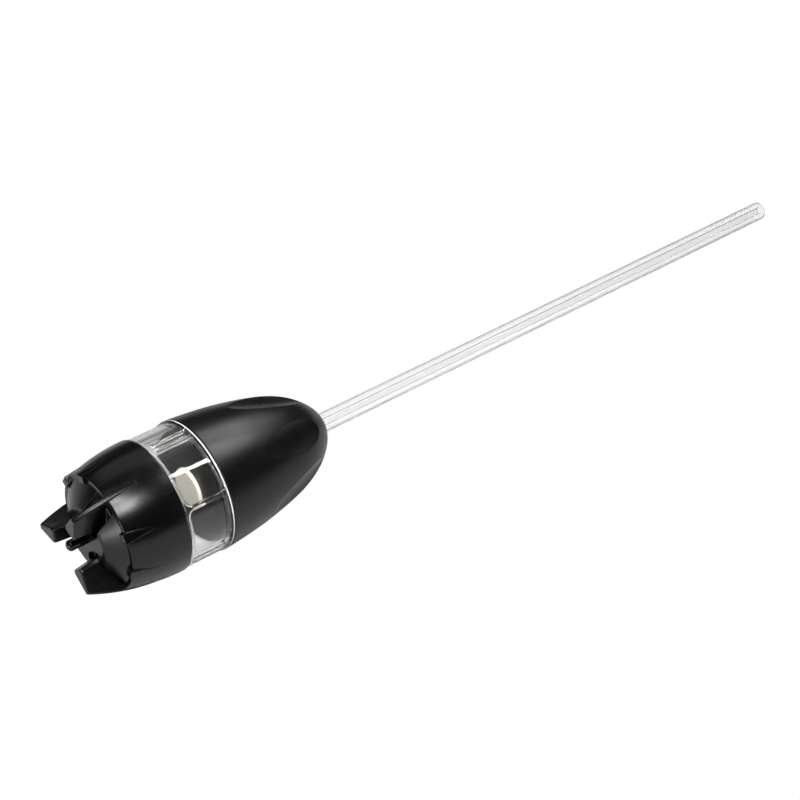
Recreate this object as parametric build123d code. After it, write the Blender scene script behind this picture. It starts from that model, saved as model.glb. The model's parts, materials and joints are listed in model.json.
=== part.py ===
"""Fuel sampler cup with a finned crown, a clear sight cup, a bullet-shaped handle and a clear rod.

Row frame, in millimetres: the axis of the whole sampler is X, +X runs along the rod towards its
free end, -X is the end that meets the drain valve, and +Z is up. The origin is on the axis, in the
parting plane between the clear cup and the handle. Angles around the axis start at +Z and turn
towards -Y.
"""
import os
from math import asin, cos, degrees, radians, sin

from build123d import *

# ---- driving dimensions -------------------------------------------------------------------------
RING_R = 21.7          # widest radius, where the handle meets the clear cup
ROD_R = 3.175          # quarter-inch acrylic rod
ROD_BORE_R = 1.2       # fine bore along the whole rod
ROD_END_X = 247.0      # free end of the rod
ROD_SEAT_R = 2.9       # turned-down inner end, which slides in the socket
ROD_SHOULDER_X = 47.8  # shoulder that stops the rod against the handle's tail
ROD_FRONT_X = 4.2      # inner end of the rod, in its socket
ROD_EDGE = 0.7         # rounding of the rod's ends
RUN = 0.05             # radial running clearance
PAST = 1.0             # how far a cutter reaches past the face it opens

# handle
TAIL_X = 47.7          # where the rod leaves the handle
SHELL_WALL = 3.3       # deep enough for the finger scoops
MOUTH_R = 19.2         # bore at the handle's front, for the floor's skirt
MOUTH_DEPTH = 7.0
# the handle's outline, as (x, radius), and its direction where it starts
BULLET = [(0, RING_R), (13.0, 20.3), (26.0, 17.75), (38.2, 13.2), (45.4, 7.1), (TAIL_X, 0)]
BULLET_START = (1, -0.09)
BULLET_END = (0, -1)
BOSS_X = 37.0          # start of the solid tail around the rod
GLAND_X = 39.6         # O-ring gland in the tail
GLAND_LENGTH = 1.9
GLAND_R = 4.6

# finger scoops in the handle
SCOOP_COUNT = 6
SCOOP_FIRST = -12.3    # angle of the first scoop
SCOOP_X = 29.3         # middle of a scoop's floor line
SCOOP_FLOOR_R = 15.05  # distance of that point from the axis
SCOOP_SLOPE = 18.5     # degrees that the floor line falls towards the tail
SCOOP_ACROSS_R = 13.8  # radius of the hollow across the scoop
SCOOP_ALONG_R = 220.0  # radius of the hollow along the scoop
SCOOP_SWEEP = 9.0      # half the angle that the cutter turns through

# floor between the handle and the cup
FLOOR_FACE_X = -2.3
FLOOR_THICKNESS = 3.4
SKIRT_WALL = 2.0
SKIRT_DEPTH = 6.5
SOCKET_R = 5.2         # outside of the rod's socket tube
SOCKET_BOSS_R = 7.4
SOCKET_BOSS_END_X = 9.0
PLUG_STEM_R = 3.95
PLUG_FLANGE_R = 6.7
PLUG_FLANGE = 1.1
PLUG_FLANGE_EDGE = 0.5
PLUG_STEM_END_X = ROD_FRONT_X - 0.2
SOCKET_FRONT_X = ROD_FRONT_X - 0.1

# clear cup
CUP_R = 21.1
CUP_BORE_R = 18.6
CUP_LENGTH = 15.8      # visible clear band
CUP_REAR_RIM = 1.3
CUP_FRONT_RIM = 1.2
CUP_FRONT_RIM_R = 21.45
CUP_RIM_EDGE = 0.25    # rounding of the two rims
NECK_R = 19.8          # threaded neck that the crown screws on to
NECK_LENGTH = 5.8
RIB_COUNT = 6
RIB_FIRST = 1.5        # angle of the first rib
RIB_HALF_WIDTH = 0.65
RIB_PROUD = 0.35

# crown
CROWN_GAP = 0.1        # between the cup's front rim and the crown
CROWN_REAR_X = -CUP_LENGTH - CROWN_GAP
THREAD_FRONT_X = -CUP_LENGTH - NECK_LENGTH - 0.4
RIM_X = -34.7          # front rim of the dome
RIM_R = 18.75
DOME_REAR_R = 21.66
DOME_MIDDLE = (-26.0, 20.85)  # point that the dome's outline passes through
DOME_WALL = 2.0
FRONT_OPENING_R = 17.2
RIM_LIP = 1.5          # thickness of the inward lip at the rim
PRONG_COUNT = 3
PRONG_FIRST = 22.0
TIP_X = -45.8          # end plane of the prongs
CREST_HALF_WIDTH = 0.9
PRONG_EDGE = 0.6       # rounding of a prong's edges
PRONG_REAR_EDGE = 0.5  # rounding where a prong ends behind the nose
# a prong's cross-sections: (x, crest radius, wide radius, inner radius, half width, inner half width)
PRONG_ROOT = (-25.0, 21.1, 6.0, 4.4, 3.0, 2.5)
PRONG_MIDDLE = (-36.0, 18.95, 7.4, 5.9, 2.85, 2.35)
PRONG_TIP = (TIP_X, 15.35, 8.7, 7.3, 2.7, 2.2)
FIN_ANGLES = (40.0, 80.0)   # the short fins, counted from each prong
# a fin's ends: (x, half width, top radius, base radius)
FIN_REAR = (-25.6, 0.35, 20.95, 19.0)
FIN_FRONT = (-35.7, 1.7, 19.3, 16.6)
FIN_EDGE = 0.3
RIM_EDGE = 0.4         # rounding of the dome's front rim

# nose insert and valve pin
NOSE_REAR_X = RIM_X + 2.0
NOSE_FRONT_X = -39.1
NOSE_FRONT_R = 9.95
NOSE_WALL = 1.7
NOSE_EDGE = 2.5        # rounding of the nose's front edge
INLET_HALF_WIDTH = 4.2 # slot around each prong's root, which lets fuel in on both sides
INLET_INNER_R = 4.4
INLET_CORNER_R = 2.5
HUB_R = 3.6
HUB_REAR_X = -32.5
PIN_R = 1.75
PIN_SHANK_R = 1.3      # the part that is pressed into the hub
PIN_TIP_X = -45.6
PIN_TIP_EDGE = 1.2
PIN_HEAD_R = 2.8
PIN_HEAD = 1.2

# seals: ring radius to the middle of the section, section radius
FLOOR_SEAL = (18.04, 0.5)
PLUG_SEAL = (5.3, 0.45)
ROD_SEAL = (3.75, 0.8)
CAP_SEAL = (20.31, 0.4)
SEAL_ROOM = 0.05       # play of a seal in its groove
FLOOR_SEAL_X = FLOOR_FACE_X + 1.3
PLUG_SEAL_X = FLOOR_FACE_X + PLUG_SEAL[1] + SEAL_ROOM
CAP_SEAL_X = CROWN_REAR_X - 1.6


# ---- helpers ------------------------------------------------------------------------------------
def turned(outline):
    """Solid of revolution about X from an outline drawn as (x, radius)."""
    return revolve(make_face(outline), Axis.X)


def ring(x0, x1, inner, outer):
    """Plain tube from x0 to x1."""
    corners = [(x0, inner), (x1, inner), (x1, outer), (x0, outer)]
    return turned(Polyline(*corners, close=True))


def rod(x0, x1, radius):
    """Plain cylinder from x0 to x1."""
    return ring(x0, x1, 0, radius)


def around(shape, angle):
    """Turns a shape drawn at +Z by an angle about X."""
    return Rot(angle, 0, 0) * shape


def o_ring(x, size):
    """O-ring centred on the axis at x."""
    middle, section = size
    return revolve(Pos(x, middle, 0) * Circle(section), Axis.X)


def groove(x, size):
    """Square groove that leaves an O-ring a little room on every side."""
    middle, section = size
    half = section + SEAL_ROOM
    return ring(x - half, x + half, middle - half, middle + half)


# ---- handle -------------------------------------------------------------------------------------
def bullet(inset):
    """Solid bullet with its flat end in the parting plane, or one that is smaller all round by the inset."""
    shrink = 1 - inset / RING_R
    points = [(x * (1 - inset / TAIL_X), radius * shrink) for x, radius in BULLET]
    curve = Spline(*points, tangents=[BULLET_START, BULLET_END])
    axis_line = Line(points[-1], (0, 0))
    front_line = Line((0, 0), points[0])
    return turned(curve + axis_line + front_line)


def scoop_cutter():
    """Part of a large torus: hollow across and slightly hollow along the handle."""
    slope = radians(SCOOP_SLOPE)
    normal = (sin(slope), cos(slope))
    path_r = SCOOP_ALONG_R - SCOOP_ACROSS_R
    centre_x = SCOOP_X + SCOOP_ALONG_R * normal[0]
    centre_z = SCOOP_FLOOR_R + SCOOP_ALONG_R * normal[1]
    turning = Axis((centre_x, 0, centre_z), (0, 1, 0))
    lowest = Plane(origin=(centre_x, 0, centre_z - path_r), z_dir=(1, 0, 0))
    section = lowest * Circle(SCOOP_ACROSS_R)
    swept = revolve(section, turning, 2 * SCOOP_SWEEP)
    return swept.rotate(turning, SCOOP_SLOPE - SCOOP_SWEEP)


def make_handle_shell():
    shell = bullet(0)
    hollow = bullet(SHELL_WALL) & ring(MOUTH_DEPTH, BOSS_X, 0, RING_R)
    shell -= hollow
    shell -= rod(-PAST, MOUTH_DEPTH, MOUTH_R)
    shell -= rod(BOSS_X - PAST, GLAND_X, SOCKET_R)
    shell -= rod(GLAND_X, GLAND_X + GLAND_LENGTH, GLAND_R)
    shell -= rod(GLAND_X, TAIL_X + PAST, ROD_SEAT_R + RUN)
    cutter = scoop_cutter()
    for number in range(SCOOP_COUNT):
        shell -= around(cutter, SCOOP_FIRST + number * 360 / SCOOP_COUNT)
    return shell


def make_rod_socket():
    return ring(SOCKET_FRONT_X, GLAND_X, ROD_SEAT_R + RUN, SOCKET_R)


# ---- floor and its plug -------------------------------------------------------------------------
def make_cup_floor():
    floor = rod(FLOOR_FACE_X, FLOOR_FACE_X + FLOOR_THICKNESS, CUP_BORE_R - RUN)
    floor += ring(0, SKIRT_DEPTH, MOUTH_R - SKIRT_WALL, MOUTH_R)
    floor += rod(0, SOCKET_BOSS_END_X, SOCKET_BOSS_R)
    floor += rod(0, FLOOR_THICKNESS + FLOOR_FACE_X, MOUTH_R)
    floor -= rod(FLOOR_FACE_X - PAST, PLUG_STEM_END_X, PLUG_STEM_R)
    floor -= rod(PLUG_STEM_END_X, SOCKET_BOSS_END_X + PAST, SOCKET_R)
    floor -= groove(FLOOR_SEAL_X, FLOOR_SEAL)
    floor -= groove(PLUG_SEAL_X, PLUG_SEAL)
    return floor


def make_floor_plug():
    front = FLOOR_FACE_X - PLUG_FLANGE
    flange = rod(front, FLOOR_FACE_X, PLUG_FLANGE_R)
    flange = fillet(flange.edges().sort_by(Axis.X)[0], PLUG_FLANGE_EDGE)
    return flange + rod(FLOOR_FACE_X, PLUG_STEM_END_X, PLUG_STEM_R)


# ---- clear cup ----------------------------------------------------------------------------------
def cup_rib(angle):
    """Half-round rib along the clear band, between its two rims."""
    length = CUP_LENGTH - CUP_REAR_RIM - CUP_FRONT_RIM
    bar = Rot(0, 90, 0) * Cylinder(RIB_HALF_WIDTH, length)
    return around(Pos(-CUP_REAR_RIM - length / 2, 0, CUP_R) * bar, angle)


def make_clear_cup():
    cup = rod(-CUP_LENGTH, 0, CUP_R)
    for rim in (rod(-CUP_REAR_RIM, 0, RING_R), rod(-CUP_LENGTH, CUP_FRONT_RIM - CUP_LENGTH, CUP_FRONT_RIM_R)):
        cup += fillet(rim.edges().filter_by(GeomType.CIRCLE), CUP_RIM_EDGE)
    cup += rod(-CUP_LENGTH - NECK_LENGTH, -CUP_LENGTH, NECK_R)
    limit = rod(-CUP_LENGTH, 0, CUP_R + RIB_PROUD)
    for number in range(RIB_COUNT):
        cup += cup_rib(RIB_FIRST + number * 360 / RIB_COUNT) & limit
    cup -= rod(-CUP_LENGTH - NECK_LENGTH - PAST, PAST, CUP_BORE_R)
    return cup


# ---- crown --------------------------------------------------------------------------------------
def dome_curve(inset):
    """Meridian of the dome, from its rear edge to its front rim."""
    middle_x, middle_r = DOME_MIDDLE
    return ThreePointArc(
        (CROWN_REAR_X, DOME_REAR_R - inset),
        (middle_x, middle_r - inset),
        (RIM_X, RIM_R - inset),
    )


def dome_body(inset):
    """Solid dome, flat at the rear edge and at the front rim."""
    closing = Polyline(
        (RIM_X, RIM_R - inset),
        (RIM_X, 0),
        (CROWN_REAR_X, 0),
        (CROWN_REAR_X, DOME_REAR_R - inset),
    )
    return turned(dome_curve(inset) + closing)


def rounded_dome():
    """Outside of the dome, with its front rim rounded."""
    dome = dome_body(0)
    rim = dome.faces().sort_by(Axis.X)[0].edges()
    return fillet(rim, RIM_EDGE)


def across(x, corners):
    """Flat face across the axis at x, from corners drawn as (sideways, radius)."""
    plane = Plane(origin=(x, 0, 0), x_dir=(0, 1, 0), z_dir=(1, 0, 0))
    return plane * make_face(Polyline(*corners, close=True))


def prong_section(x, crest_r, wide_r, inner_r, half_width, inner_half_width):
    """Cross-section of a prong: a narrow crest that widens towards a blunt inner end."""
    corners = [
        (CREST_HALF_WIDTH, crest_r),
        (half_width, wide_r),
        (inner_half_width, inner_r),
        (-inner_half_width, inner_r),
        (-half_width, wide_r),
        (-CREST_HALF_WIDTH, crest_r),
    ]
    return across(x, corners)


def prong():
    """One prong, drawn at +Z, running from the dome's side to the tip plane."""
    sections = [prong_section(*PRONG_ROOT), prong_section(*PRONG_MIDDLE), prong_section(*PRONG_TIP)]
    blade = loft(sections)
    rear_edges = blade.faces().sort_by(Axis.X)[-1].edges()
    blade = fillet([edge for edge in blade.edges() if edge not in rear_edges], PRONG_EDGE)
    blade -= rod(RIM_X, 0, FRONT_OPENING_R)
    cut = blade.faces().filter_by(Axis.X).sort_by(Axis.X)[1]
    rounded = [edge for edge in cut.edges() if edge.center().Z < FRONT_OPENING_R - PRONG_EDGE]
    return fillet(rounded, PRONG_REAR_EDGE)


def short_fin():
    """Wedge on the dome, drawn at +Z: a point at the rear, flat-topped and wide at the rim."""
    def section(x, half_width, top_r, base_r):
        corners = [(-half_width, base_r), (half_width, base_r), (half_width, top_r), (-half_width, top_r)]
        return across(x, corners)
    wedge = loft([section(*FIN_REAR), section(*FIN_FRONT)], ruled=True)
    front = wedge.faces().sort_by(Axis.X)[0]
    crest = wedge.faces().sort_by(Axis.Z)[-1]
    rear = wedge.faces().sort_by(Axis.X)[-1]
    rounded = [edge for edge in front.edges() + crest.edges() if edge not in rear.edges()]
    return fillet(rounded, FIN_EDGE)


def make_crown_shell():
    shell = rounded_dome()
    solid_prongs = [around(prong(), PRONG_FIRST + n * 120) for n in range(PRONG_COUNT)]
    for blade in solid_prongs:
        shell += blade
    for n in range(PRONG_COUNT):
        for offset in FIN_ANGLES:
            shell += around(short_fin(), PRONG_FIRST + n * 120 + offset)
    shell -= crown_hollow()
    return shell


def crown_hollow():
    """Everything inside the crown, up to the front of the nose insert."""
    hollow = rod(THREAD_FRONT_X, 0, NECK_R + RUN)
    hollow += dome_body(DOME_WALL) & rod(RIM_X + RIM_LIP, 0, RING_R)
    hollow += rod(RIM_X, NOSE_REAR_X, FRONT_OPENING_R)
    hollow += slotted_cone()
    hollow += groove(CAP_SEAL_X, CAP_SEAL)
    return hollow


def nose_cone(inset):
    """Solid low cone that fills the crown's front."""
    corners = [
        (NOSE_REAR_X, 0),
        (NOSE_REAR_X, FRONT_OPENING_R - inset),
        (RIM_X, FRONT_OPENING_R - inset),
        (NOSE_FRONT_X + inset, NOSE_FRONT_R),
        (NOSE_FRONT_X + inset, 0),
    ]
    cone = turned(Polyline(*corners, close=True))
    front = cone.faces().sort_by(Axis.X)[0]
    return fillet(front.edges(), NOSE_EDGE - inset)


def inlet():
    """Cutter for the fuel inlet around the root of a prong drawn at +Z."""
    length = RIM_X - NOSE_FRONT_X + PAST
    height = RING_R - INLET_INNER_R
    slot = Box(length, 2 * INLET_HALF_WIDTH, height)
    slot = fillet(slot.edges().filter_by(Axis.X), INLET_CORNER_R)
    return Pos(RIM_X - length / 2, 0, INLET_INNER_R + height / 2) * slot


def slotted_cone():
    """Outside of the nose insert, with its three inlets."""
    cone = nose_cone(0)
    for n in range(PRONG_COUNT):
        cone -= around(inlet(), PRONG_FIRST + n * 120)
    return cone


def make_nose_insert():
    insert = slotted_cone() - nose_cone(NOSE_WALL)
    insert += rod(NOSE_FRONT_X, HUB_REAR_X, HUB_R)
    insert -= rod(NOSE_FRONT_X - PAST, HUB_REAR_X + PAST, PIN_SHANK_R)
    return insert


def make_valve_pin():
    pin = rod(PIN_TIP_X, NOSE_FRONT_X, PIN_R)
    pin = fillet(pin.edges().sort_by(Axis.X)[0], PIN_TIP_EDGE)
    pin += rod(NOSE_FRONT_X, HUB_REAR_X, PIN_SHANK_R)
    return pin + rod(HUB_REAR_X, HUB_REAR_X + PIN_HEAD, PIN_HEAD_R)


# ---- rod ----------------------------------------------------------------------------------------
def make_clear_rod():
    bar = rod(ROD_SHOULDER_X, ROD_END_X, ROD_R)
    bar = fillet(bar.edges().filter_by(GeomType.CIRCLE).sort_by(Axis.X)[-1], ROD_EDGE)
    bar += rod(ROD_FRONT_X, ROD_SHOULDER_X, ROD_SEAT_R)
    return bar - rod(ROD_FRONT_X - PAST, ROD_END_X + PAST, ROD_BORE_R)


def main():
    os.makedirs("parts", exist_ok=True)
    nodes = {
        "handle_shell": make_handle_shell(),
        "rod_socket": make_rod_socket(),
        "rod_seal": o_ring(GLAND_X + GLAND_LENGTH / 2, ROD_SEAL),
        "cup_floor": make_cup_floor(),
        "floor_plug": make_floor_plug(),
        "plug_seal": o_ring(PLUG_SEAL_X, PLUG_SEAL),
        "floor_seal": o_ring(FLOOR_SEAL_X, FLOOR_SEAL),
        "clear_cup": make_clear_cup(),
        "cap_seal": o_ring(CAP_SEAL_X, CAP_SEAL),
        "crown_shell": make_crown_shell(),
        "nose_insert": make_nose_insert(),
        "valve_pin": make_valve_pin(),
        "clear_rod": make_clear_rod(),
    }
    for name, shape in nodes.items():
        export_step(shape, f"parts/{name}.step")


main()
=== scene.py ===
"""Fuel sampler cup: camera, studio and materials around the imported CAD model."""

import json
import math

import bmesh
import bpy
from mathutils import Matrix, Vector

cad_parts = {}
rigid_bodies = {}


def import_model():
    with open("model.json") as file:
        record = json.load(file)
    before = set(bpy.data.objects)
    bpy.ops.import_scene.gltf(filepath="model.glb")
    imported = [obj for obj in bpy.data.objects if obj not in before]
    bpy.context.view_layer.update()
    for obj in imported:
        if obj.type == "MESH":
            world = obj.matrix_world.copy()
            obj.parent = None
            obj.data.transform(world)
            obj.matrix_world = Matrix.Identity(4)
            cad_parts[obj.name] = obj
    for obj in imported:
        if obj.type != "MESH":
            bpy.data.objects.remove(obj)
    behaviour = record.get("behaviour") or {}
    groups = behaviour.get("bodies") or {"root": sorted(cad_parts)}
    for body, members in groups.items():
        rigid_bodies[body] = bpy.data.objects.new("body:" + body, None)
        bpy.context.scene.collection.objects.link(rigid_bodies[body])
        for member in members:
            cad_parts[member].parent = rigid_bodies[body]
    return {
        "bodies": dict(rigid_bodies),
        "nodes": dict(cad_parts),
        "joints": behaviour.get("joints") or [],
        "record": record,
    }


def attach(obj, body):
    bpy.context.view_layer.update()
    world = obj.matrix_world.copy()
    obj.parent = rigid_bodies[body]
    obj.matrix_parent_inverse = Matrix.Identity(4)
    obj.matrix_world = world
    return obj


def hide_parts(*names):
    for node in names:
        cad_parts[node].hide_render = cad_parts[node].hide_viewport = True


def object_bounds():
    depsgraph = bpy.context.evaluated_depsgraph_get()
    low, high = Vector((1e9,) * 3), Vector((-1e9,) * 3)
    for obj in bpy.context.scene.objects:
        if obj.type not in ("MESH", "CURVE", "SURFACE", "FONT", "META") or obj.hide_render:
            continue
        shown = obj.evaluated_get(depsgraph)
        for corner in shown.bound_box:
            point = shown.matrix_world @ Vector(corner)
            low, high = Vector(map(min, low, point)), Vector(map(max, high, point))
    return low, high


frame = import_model()
cad_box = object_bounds()
NODES = frame["nodes"]

MM = 0.001
EDGE_ROUNDING = 0.0004     # radius that edges of black plastic are shaded with, in metres
ACRYLIC_IOR = 1.49

# ---- camera -------------------------------------------------------------------------------------
RING = 0.0434          # diameter of the ring that the camera's place is measured in
LENS = 96.12
SENSOR_WIDTH = 36.0


def make_camera():
    right = Vector((0.7804, -0.6252, 0.0))
    up = Vector((0.3832, 0.4783, 0.7901))
    back = Vector((-0.4940, -0.6167, 0.6129))
    centre = RING * Vector((-1.4403, -0.5962, -15.017))
    place = Matrix((right, up, back)).transposed().to_4x4()
    place.translation = -(right * centre.x + up * centre.y + back * centre.z)
    data = bpy.data.cameras.new("camera")
    data.sensor_width = SENSOR_WIDTH
    data.lens = LENS
    data.clip_start = 0.01
    data.clip_end = 50.0
    camera = bpy.data.objects.new("camera", data)
    camera.matrix_world = place
    bpy.context.scene.collection.objects.link(camera)
    bpy.context.scene.camera = camera


# ---- studio -------------------------------------------------------------------------------------
AIM = (-0.01, 0.0, 0.0)        # point that every light faces
ROOM = 0.05                    # strengths of the room, the backdrop and the floor
ROOM_THROUGH_PLASTIC = 0.37
PAPER = 1.0
FLOOR_GLOW = 0.05
FLOOR_GREY = 0.47
FLOOR_HALF_SIZE = 3.0


def softbox(name, direction, distance, size, radiance, colour=(1, 1, 1)):
    """Rectangular light that shines at the middle of the cup; radiance is its own brightness."""
    data = bpy.data.lights.new(name, "AREA")
    data.shape = "RECTANGLE"
    data.size, data.size_y = size
    data.energy = radiance * math.pi * size[0] * size[1]
    data.color = colour
    light = bpy.data.objects.new(name, data)
    away = Vector(direction).normalized()
    light.location = Vector(AIM) + away * distance
    light.rotation_euler = away.to_track_quat("Z", "X").to_euler()
    light.visible_camera = False
    bpy.context.scene.collection.objects.link(light)
    return light


def by_ray(tree, kind, seen, unseen):
    """Shader that one kind of ray sees as one thing and every other ray as another."""
    path = tree.nodes.new("ShaderNodeLightPath")
    mix = tree.nodes.new("ShaderNodeMixShader")
    tree.links.new(path.outputs[kind], mix.inputs[0])
    tree.links.new(unseen, mix.inputs[1])
    tree.links.new(seen, mix.inputs[2])
    return mix.outputs[0]


def background(tree, colour, strength):
    node = tree.nodes.new("ShaderNodeBackground")
    node.inputs["Color"].default_value = (*colour, 1)
    node.inputs["Strength"].default_value = strength
    return node.outputs[0]


def make_world():
    """Dim room all round, brighter through clear plastic, and a pale backdrop for the camera."""
    world = bpy.data.worlds.new("world")
    bpy.context.scene.world = world
    world.use_nodes = True
    tree = world.node_tree
    tree.nodes.remove(tree.nodes["Background"])
    room = background(tree, (0.9, 0.95, 1.0), ROOM)
    backdrop = background(tree, (1, 1, 1), PAPER)
    through = background(tree, (1, 0.94, 0.85), ROOM_THROUGH_PLASTIC)
    mixed = by_ray(tree, "Is Transmission Ray", through, room)
    mixed = by_ray(tree, "Is Camera Ray", backdrop, mixed)
    tree.links.new(mixed, tree.nodes["World Output"].inputs["Surface"])


def make_floor():
    """White paper, overexposed where the camera sees it directly."""
    mesh = bpy.data.meshes.new("floor")
    half = FLOOR_HALF_SIZE
    corners = [(-half, -half, 0), (half, -half, 0), (half, half, 0), (-half, half, 0)]
    mesh.from_pydata(corners, [], [(0, 1, 2, 3)])
    floor = bpy.data.objects.new("floor", mesh)
    floor.location = (0, 0, cad_box[0][2])
    bpy.context.scene.collection.objects.link(floor)
    material, tree, shader = new_material("floor_paper")
    shader.inputs["Base Color"].default_value = (FLOOR_GREY, FLOOR_GREY, FLOOR_GREY, 1)
    shader.inputs["Roughness"].default_value = 0.9
    shader.inputs["Emission Color"].default_value = (1, 1, 1, 1)
    shader.inputs["Emission Strength"].default_value = FLOOR_GLOW
    white = tree.nodes.new("ShaderNodeEmission")
    white.inputs["Strength"].default_value = PAPER
    mixed = by_ray(tree, "Is Camera Ray", white.outputs[0], shader.outputs[0])
    link(tree, mixed, tree.nodes["Material Output"].inputs["Surface"])
    mesh.materials.append(material)


def make_studio():
    """Lights: direction from the cup, distance, size and brightness of each."""
    make_floor()
    make_world()
    softbox("key", (-0.17, -0.45, 0.88), 0.6, (0.15, 0.16), 20.0)
    softbox("right_front", (0.56, -0.15, 0.82), 0.7, (0.2, 0.27), 7.0)
    softbox("right_back", (0.60, 0.28, 0.75), 0.7, (0.2, 0.30), 5.0)
    wash = softbox("wash", (-0.35, -0.45, 0.82), 0.9, (0.25, 0.25), 20.0, (1, 0.985, 0.96))
    wash.visible_glossy = False    # lights matt surfaces and leaves no reflection
    wash.visible_transmission = False
    softbox("crest_strip", (-0.22, -0.16, 0.96), 0.6, (0.05, 0.2), 30.0)
    softbox("overhead", (0.21, 0.62, 0.76), 0.6, (0.35, 0.35), 0.4)
    softbox("left_card", (-0.98, -0.17, 0.0), 0.16, (0.036, 0.036), 9.0)


def accent(name, receivers, *place, **colour):
    """Softbox that lights only the pieces named, to bring out clear edges against the dark room."""
    light = softbox(name, *place, **colour)
    light.visible_transmission = False
    group = bpy.data.collections.new(name)
    for piece in receivers:
        group.objects.link(piece)
    light.light_linking.receiver_collection = group


def light_clear_parts(clear, plug):
    """Narrow lights for the clear pieces' edges, and one for the pale plug behind them."""
    accent("rim_accent", clear, (-0.35, -0.6, 0.72), 0.4, (0.3, 0.05), 25.0)
    accent("rib_accent", clear, (0.5, -0.35, 0.79), 0.5, (0.25, 0.04), 25.0)
    cool = (0.93, 0.95, 1.0)
    accent("low_accent", clear, (0.5, -0.86, 0.08), 0.25, (0.1, 0.03), 12.0, colour=cool)
    accent("plug_accent", plug, (-0.9, -0.3, 0.3), 0.5, (0.1, 0.1), 60.0)


# ---- materials ----------------------------------------------------------------------------------
GRAIN_DEPTH = 0.00003
WAVE_DEPTH = 0.0002
WORN = (0.012, 0.012, 0.013)
# painted highlight: white painted on the clear cup's sharp edges
PAINTED_EDGE_HIGHLIGHT = (0.9, 0.9, 0.9)


def new_material(name):
    material = bpy.data.materials.new(name)
    material.use_nodes = True
    tree = material.node_tree
    return material, tree, tree.nodes["Principled BSDF"]


def link(tree, source, target):
    tree.links.new(source, target)


def noise(tree, scale, detail=3.0, rough=0.55):
    coordinates = tree.nodes.new("ShaderNodeTexCoord")
    node = tree.nodes.new("ShaderNodeTexNoise")
    node.inputs["Scale"].default_value = scale
    node.inputs["Detail"].default_value = detail
    node.inputs["Roughness"].default_value = rough
    link(tree, coordinates.outputs["Object"], node.inputs["Vector"])
    return node


def ramp(tree, source, low, high, value_low, value_high):
    """Maps source from low..high onto value_low..value_high."""
    node = tree.nodes.new("ShaderNodeMapRange")
    node.inputs["From Min"].default_value = low
    node.inputs["From Max"].default_value = high
    node.inputs["To Min"].default_value = value_low
    node.inputs["To Max"].default_value = value_high
    link(tree, source, node.inputs["Value"])
    return node.outputs["Result"]


def math_node(tree, operation, first, second):
    node = tree.nodes.new("ShaderNodeMath")
    node.operation = operation
    link(tree, first, node.inputs[0])
    link(tree, second, node.inputs[1])
    return node.outputs["Value"]


def bump_of(tree, height, strength, distance):
    node = tree.nodes.new("ShaderNodeBump")
    node.inputs["Strength"].default_value = strength
    node.inputs["Distance"].default_value = distance
    link(tree, height, node.inputs["Height"])
    return node


def blend_colours(tree, factor, first, second):
    """Colour between two, by a factor; either colour may be another node's output."""
    mix = tree.nodes.new("ShaderNodeMix")
    mix.data_type = "RGBA"
    link(tree, factor, mix.inputs["Factor"])
    for socket, value in ((mix.inputs["A"], first), (mix.inputs["B"], second)):
        if isinstance(value, tuple):
            socket.default_value = (*value, 1)
        else:
            link(tree, value, socket)
    return mix.outputs["Result"]


def stretched_noise(tree, scale, detail, stretch):
    """Noise drawn out along one direction, for rubbing marks."""
    node = noise(tree, scale, detail)
    mapping = tree.nodes.new("ShaderNodeMapping")
    mapping.inputs["Scale"].default_value = stretch
    coordinates = node.inputs["Vector"].links[0].from_socket
    link(tree, coordinates, mapping.inputs["Vector"])
    link(tree, mapping.outputs["Vector"], node.inputs["Vector"])
    return node


def edge_normal(tree, radius):
    """Surface normal as if the edges were rounded."""
    bevel = tree.nodes.new("ShaderNodeBevel")
    bevel.samples = 6
    bevel.inputs["Radius"].default_value = radius
    return bevel.outputs["Normal"]


def edge_mask(tree, rounded):
    """1 on sharp edges and 0 on open faces."""
    geometry = tree.nodes.new("ShaderNodeNewGeometry")
    dot = tree.nodes.new("ShaderNodeVectorMath")
    dot.operation = "DOT_PRODUCT"
    link(tree, rounded, dot.inputs[0])
    link(tree, geometry.outputs["Normal"], dot.inputs[1])
    return ramp(tree, dot.outputs["Value"], 0.99, 0.9, 0.0, 1.0)


def moulded_plastic(name, dark, light, rough_low, rough_high, grain, specular=0.5):
    """Moulded plastic: mottled colour, fine grain, rubbing marks, and edges worn paler."""
    material, tree, shader = new_material(name)
    fine = noise(tree, 2600.0, 2.0)
    broad = noise(tree, 90.0, 4.0)
    marks = stretched_noise(tree, 420.0, 5.0, (0.12, 1.0, 1.0))
    rounded = edge_normal(tree, EDGE_ROUNDING)
    edges = edge_mask(tree, rounded)
    body = blend_colours(tree, broad.outputs["Fac"], dark, light)
    worn_edges = math_node(tree, "MULTIPLY", edges, marks.outputs["Fac"])
    link(tree, blend_colours(tree, worn_edges, body, WORN), shader.inputs["Base Color"])
    mottled = ramp(tree, broad.outputs["Fac"], 0.3, 0.7, rough_low, rough_high)
    rubbed = ramp(tree, marks.outputs["Fac"], 0.45, 0.75, 0.0, -0.05)
    link(tree, math_node(tree, "ADD", mottled, rubbed), shader.inputs["Roughness"])
    shader.inputs["Specular IOR Level"].default_value = specular
    bump = bump_of(tree, fine.outputs["Fac"], grain, GRAIN_DEPTH)
    link(tree, rounded, bump.inputs["Normal"])
    link(tree, bump.outputs["Normal"], shader.inputs["Normal"])
    return material


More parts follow.
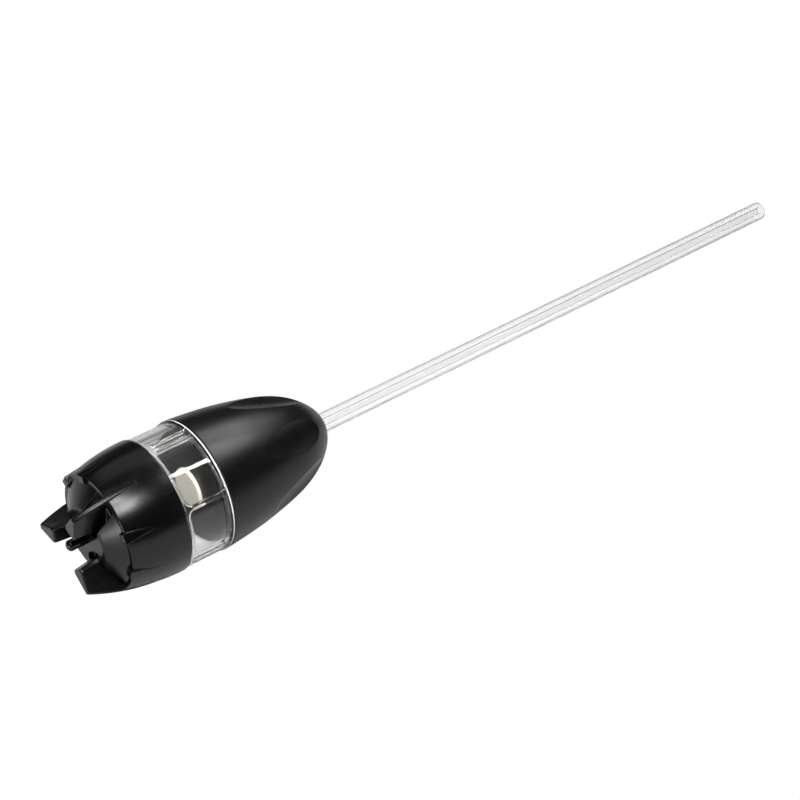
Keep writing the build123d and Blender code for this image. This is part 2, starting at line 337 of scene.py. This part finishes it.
def clear_plastic(name, tint, rough, waviness):
    """Clear acrylic with faint rubbing marks and a slightly wavy surface."""
    material, tree, shader = new_material(name)
    shader.inputs["IOR"].default_value = ACRYLIC_IOR
    shader.inputs["Base Color"].default_value = (*tint, 1)
    shader.inputs["Transmission Weight"].default_value = 1.0
    marks = stretched_noise(tree, 300.0, 5.0, (0.1, 1.0, 1.0))
    link(tree, ramp(tree, marks.outputs["Fac"], 0.55, 0.8, 0.0, rough), shader.inputs["Roughness"])
    wavy = noise(tree, 60.0, 1.0)
    bump = bump_of(tree, wavy.outputs["Fac"], waviness, WAVE_DEPTH)
    link(tree, bump.outputs["Normal"], shader.inputs["Normal"])
    return material


def paint_edge_highlights(material, tint, share):
    """Paints the sharp edges of a clear piece white, a painted highlight, and lets less light
    through them.
    """
    tree = material.node_tree
    shader = tree.nodes["Principled BSDF"]
    edges = edge_mask(tree, edge_normal(tree, EDGE_ROUNDING))
    link(tree, blend_colours(tree, edges, tint, PAINTED_EDGE_HIGHLIGHT), shader.inputs["Base Color"])
    link(tree, ramp(tree, edges, 0.0, 1.0, 1.0, 1 - share), shader.inputs["Transmission Weight"])


def painted_highlight_plastic(name, dull, pale):
    """Acrylic with a fine satin finish, pale and mostly opaque: a painted highlight for the light
    that gathers in the rear bead.
    """
    material, tree, shader = new_material(name)
    grain = noise(tree, 900.0, 3.0)
    link(tree, blend_colours(tree, grain.outputs["Fac"], dull, pale), shader.inputs["Base Color"])
    link(tree, ramp(tree, grain.outputs["Fac"], 0.3, 0.7, 0.3, 0.45), shader.inputs["Roughness"])
    shader.inputs["Transmission Weight"].default_value = 0.15
    shader.inputs["IOR"].default_value = ACRYLIC_IOR
    return material


def see_through(material, share):
    """Lets a thin clear piece show what is straight behind it, except where it curves away."""
    tree = material.node_tree
    facing = tree.nodes.new("ShaderNodeLayerWeight")
    facing.inputs["Blend"].default_value = 0.5
    opacity = ramp(tree, facing.outputs["Facing"], 0.4, 0.8, share, 1.0)
    link(tree, opacity, tree.nodes["Principled BSDF"].inputs["Alpha"])


def dress(material, *names):
    for name in names:
        mesh = NODES[name].data
        mesh.materials.clear()
        mesh.materials.append(material)


# ---- pieces -------------------------------------------------------------------------------------
def revolved(name, rows, angles, radius_at=None):
    """Closed ring about X: rows are (x, radius) in mm around the section, angles are in radians."""
    mesh = bmesh.new()
    grid = []
    for x, radius in rows:
        line = []
        for angle in angles:
            r = radius_at(x, radius, angle) if radius_at else radius
            y, z = -r * math.sin(angle), r * math.cos(angle)
            line.append(mesh.verts.new((x * MM, y * MM, z * MM)))
        grid.append(line)
    for i, line in enumerate(grid):
        following = grid[(i + 1) % len(grid)]
        for j in range(len(angles)):
            k = (j + 1) % len(angles)
            face = mesh.faces.new((line[j], line[k], following[k], following[j]))
            face.smooth = True
    bmesh.ops.recalc_face_normals(mesh, faces=mesh.faces)
    data = bpy.data.meshes.new(name)
    mesh.to_mesh(data)
    mesh.free()
    piece = bpy.data.objects.new(name, data)
    bpy.context.scene.collection.objects.link(piece)
    return piece


def spread(first, last, step):
    """Numbers from first to last, both included, about a step apart."""
    count = max(1, round(abs(last - first) / step))
    return [first + (last - first) * i / count for i in range(count + 1)]


def turned_corner(x, radius, start, end, size, steps=6):
    """Arc of a rounded corner in a section, about (x, radius), between two angles in degrees."""
    return [
        (x + size * math.cos(math.radians(a)), radius + size * math.sin(math.radians(a)))
        for a in spread(start, end, (end - start) / steps)
    ]


# clear cup, in mm
CUP_END_X = -15.8
NECK_END_X = -21.6
CUP_R = 21.05              # level of the windows between the ribs
CUP_BORE_R = 18.6
NECK_R = 19.8
REAR_RIM = (1.3, 0.65)     # width and height of the bead beside the handle
FRONT_RIM = (1.2, 0.4)
RIM_LINE = (-0.9, -0.4)    # from where to where the rear bead gets its pale painted highlight line
REAR_SLOPE = (-2.6, 1.3)   # where the rise from the ribs to the rear bead starts, and its width
RIB_COUNT = 6
RIB_FIRST = math.radians(1.5)
RIB_HALF_WIDTH = 0.65
RIB_HEIGHT = 0.4
COMB_PITCH = 1.1           # between the fine ridges along every second rib
COMB_HALF_WIDTH = 2.5
WINDOW_CORNER_R = 2.2
END_ROUNDING = 0.45
THREAD_STARTS = 4
THREAD_LEAD = 6.0
THREAD_DEPTH = 0.45
THREAD_RELIEF = 0.6        # plain neck between the thread and the band
THREAD_FADE = 1.0          # over which the thread starts and ends
LEVEL = 1e-6               # slack in telling the section's levels apart


def window_distance(x, angle):
    """How far a point of the band is outside the rounded window nearest to it; negative inside."""
    pitch = 2 * math.pi / RIB_COUNT
    from_middle = (angle - RIB_FIRST) % pitch - pitch / 2
    half_x = (-CUP_END_X - REAR_RIM[0] - FRONT_RIM[0]) / 2
    middle_x = CUP_END_X + FRONT_RIM[0] + half_x
    half_s = CUP_R * pitch / 2 - RIB_HALF_WIDTH
    dx = abs(x - middle_x) - half_x + WINDOW_CORNER_R
    ds = abs(CUP_R * from_middle) - half_s + WINDOW_CORNER_R
    return math.hypot(max(dx, 0), max(ds, 0)) + min(max(dx, ds), 0) - WINDOW_CORNER_R


def comb(x, angle):
    """Height, from 0 to 1, of the fine ridges that run along every second rib."""
    pitch = 4 * math.pi / RIB_COUNT
    across = CUP_R * ((angle - RIB_FIRST + pitch / 2) % pitch - pitch / 2)
    if abs(across) > COMB_HALF_WIDTH:
        return 0.0
    return max(0.0, math.cos(2 * math.pi * across / COMB_PITCH))


def quarter_round(distance, size):
    """Height, from 0 to 1, of a quarter-round edge at a distance from its foot."""
    reach = min(max(distance / size, 0.0), 1.0)
    return math.sqrt(1 - (1 - reach) ** 2)


def cup_radius(x, radius, angle):
    """Radius of the cup's outside: framed windows on the band and a thread on the neck."""
    if radius < NECK_R - LEVEL:
        return radius
    if x < CUP_END_X - 0.2:
        turns_along = (x - NECK_END_X) * THREAD_STARTS / THREAD_LEAD
        turn = angle / (2 * math.pi) * THREAD_STARTS - turns_along
        valley = 0.5 - 0.5 * math.cos(2 * math.pi * turn)
        run_out = quarter_round(x - NECK_END_X, THREAD_FADE)
        run_out *= quarter_round(CUP_END_X - THREAD_RELIEF - x, THREAD_FADE)
        return radius - THREAD_DEPTH * valley ** 2 * run_out
    if radius < CUP_R - LEVEL:
        return radius
    rear = min(max((x - REAR_SLOPE[0]) / REAR_SLOPE[1], 0.0), 1.0)
    height = RIB_HEIGHT + (REAR_RIM[1] - RIB_HEIGHT) * rear
    frame = max(quarter_round(window_distance(x, angle), RIB_HALF_WIDTH), comb(x, angle))
    ends = quarter_round(min(-x, x - CUP_END_X), END_ROUNDING)
    return CUP_R - END_ROUNDING * (1 - ends) + height * frame * ends


def cup_angles():
    """Columns of the cup's mesh, closer together at the ribs and at the windows' corners."""
    pitch = 2 * math.pi / RIB_COUNT
    fine = math.radians(8.0)
    columns = []
    for number in range(RIB_COUNT):
        rib = RIB_FIRST + number * pitch
        columns += [rib + offset for offset in spread(-fine, fine, math.radians(0.42))]
        columns += [rib + offset for offset in spread(fine, pitch - fine, math.radians(1.5))[1:-1]]
    return columns


def paint_rim_highlight(cup):
    """Gives a line round the rear bead the cup's second material, which paints a highlight there.
    """
    vertices = cup.data.vertices
    for face in cup.data.polygons:
        on_rim = all(RIM_LINE[0] < vertices[v].co.x / MM < RIM_LINE[1] for v in face.vertices)
        outward = math.hypot(face.center.y, face.center.z) > CUP_R * MM
        face.material_index = 1 if on_rim and outward else 0


def make_clear_cup():
    """Rows closer together where the rims, the windows' corners and the thread need them."""
    outside = [(x, CUP_R) for x in (0.0, -0.03, -0.08, -0.16, -0.26, -0.38)]
    outside += [(x, CUP_R) for x in spread(-0.5, -4.0, 0.12)]
    outside += [(x, CUP_R) for x in spread(-4.3, CUP_END_X + 4.3, 0.35)]
    outside += [(x, CUP_R) for x in spread(CUP_END_X + 4.0, CUP_END_X + 0.4, 0.12)]
    outside += [(CUP_END_X + x, CUP_R) for x in (0.26, 0.16, 0.08, 0.03, 0.0)]
    neck = [(x, NECK_R) for x in spread(CUP_END_X - 0.02, NECK_END_X + 0.3, 0.14)]
    lip = turned_corner(NECK_END_X + 0.3, NECK_R - 0.3, 110, 180, 0.3)
    lip += turned_corner(NECK_END_X + 0.3, CUP_BORE_R + 0.3, 180, 270, 0.3)
    bore = [(x, CUP_BORE_R) for x in spread(NECK_END_X + 1.0, -0.6, 1.6)]
    mouth = turned_corner(-0.3, CUP_BORE_R + 0.3, 270, 360, 0.3)
    cup = revolved("sight_cup", outside + neck + lip + bore + mouth, cup_angles(), cup_radius)
    # painted highlight: pale line round the rear bead
    paint_rim_highlight(cup)
    cup.visible_shadow = False
    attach(cup, "handle")
    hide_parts("clear_cup")
    return cup


# clear rod, in mm
ROD_R = 3.175
ROD_SEAT_R = 2.9
ROD_BORE_R = 1.2
ROD_FRONT_X = 4.2
ROD_SHOULDER_X = 47.8
ROD_END_X = 247.0
ROD_EDGE = 0.7
ROD_SIDES = 128


def make_clear_rod():
    outside = [(x, ROD_SEAT_R) for x in spread(ROD_FRONT_X + 0.3, ROD_SHOULDER_X, 4.0)]
    outside += turned_corner(ROD_SHOULDER_X + 0.15, ROD_R - 0.15, 180, 90, 0.15)
    outside += [(x, ROD_R) for x in spread(ROD_SHOULDER_X + 1, ROD_END_X - ROD_EDGE - 1, 4.0)]
    outside += turned_corner(ROD_END_X - ROD_EDGE, ROD_R - ROD_EDGE, 90, 0, ROD_EDGE, 10)
    outside += turned_corner(ROD_END_X - 0.2, ROD_BORE_R + 0.2, 0, -90, 0.2)
    bore = [(x, ROD_BORE_R) for x in spread(ROD_END_X - 1, ROD_FRONT_X + 0.3, 4.0)]
    inner_end = turned_corner(ROD_FRONT_X + 0.2, ROD_BORE_R + 0.2, 270, 180, 0.2)
    inner_end += turned_corner(ROD_FRONT_X + 0.3, ROD_SEAT_R - 0.3, 180, 95, 0.3)
    angles = [2 * math.pi * i / ROD_SIDES for i in range(ROD_SIDES)]
    clear_rod = revolved("drain_rod", outside + bore + inner_end, angles)
    clear_rod.visible_shadow = False
    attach(clear_rod, "rod")
    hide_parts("clear_rod")
    return clear_rod


# ---- scene --------------------------------------------------------------------------------------
# node names, then colours (dark, light), roughness (low, high), grain, and specular where not 0.5
PLASTICS = {
    "handle_plastic": (["handle_shell"],
                       (0.0008, 0.0008, 0.0009), (0.002, 0.002, 0.0022), 0.3, 0.38, 0.25),
    "crown_plastic": (["crown_shell", "nose_insert"],
                      (0.0006, 0.0006, 0.0007), (0.0016, 0.0016, 0.0018), 0.2, 0.3, 0.2),
    "floor_plastic": (["cup_floor", "rod_socket"],
                      (0.001, 0.001, 0.0012), (0.003, 0.003, 0.0035), 0.3, 0.4, 0.2, 0.15),
    "pin_plastic": (["valve_pin"],
                    (0.001, 0.001, 0.001), (0.003, 0.003, 0.003), 0.12, 0.2, 0.1),
    "plug_nylon": (["floor_plug"],
                   (0.62, 0.57, 0.50), (0.72, 0.68, 0.60), 0.4, 0.5, 0.2),
    "seal_rubber": (["rod_seal", "plug_seal", "floor_seal", "cap_seal"],
                    (0.01, 0.01, 0.01), (0.018, 0.018, 0.018), 0.5, 0.65, 0.3),
}
CUP_TINT = (0.97, 0.98, 0.98)
ROD_TINT = (0.7, 0.7, 0.72)

make_camera()
make_studio()
for name, (nodes, *look) in PLASTICS.items():
    dress(moulded_plastic(name, *look), *nodes)
acrylic = clear_plastic("cup_acrylic", CUP_TINT, 0.03, 0.05)
# painted highlight: the cup's sharp edges are painted white
paint_edge_highlights(acrylic, CUP_TINT, 0.7)
rod_acrylic = clear_plastic("rod_acrylic", ROD_TINT, 0.0, 0.004)
see_through(rod_acrylic, 0.12)
# painted highlight: pale line round the cup's rear bead
rim_highlight = painted_highlight_plastic("cup_rim_painted_highlight", (0.42, 0.43, 0.45), (0.62, 0.62, 0.64))
sight_cup = make_clear_cup()
sight_cup.data.materials.append(acrylic)
sight_cup.data.materials.append(rim_highlight)
drain_rod = make_clear_rod()
drain_rod.data.materials.append(rod_acrylic)
light_clear_parts([sight_cup], [NODES["floor_plug"]])

scene = bpy.context.scene
scene.view_settings.view_transform = "Standard"
scene.cycles.max_bounces = 24
scene.cycles.transmission_bounces = 20
scene.cycles.glossy_bounces = 6
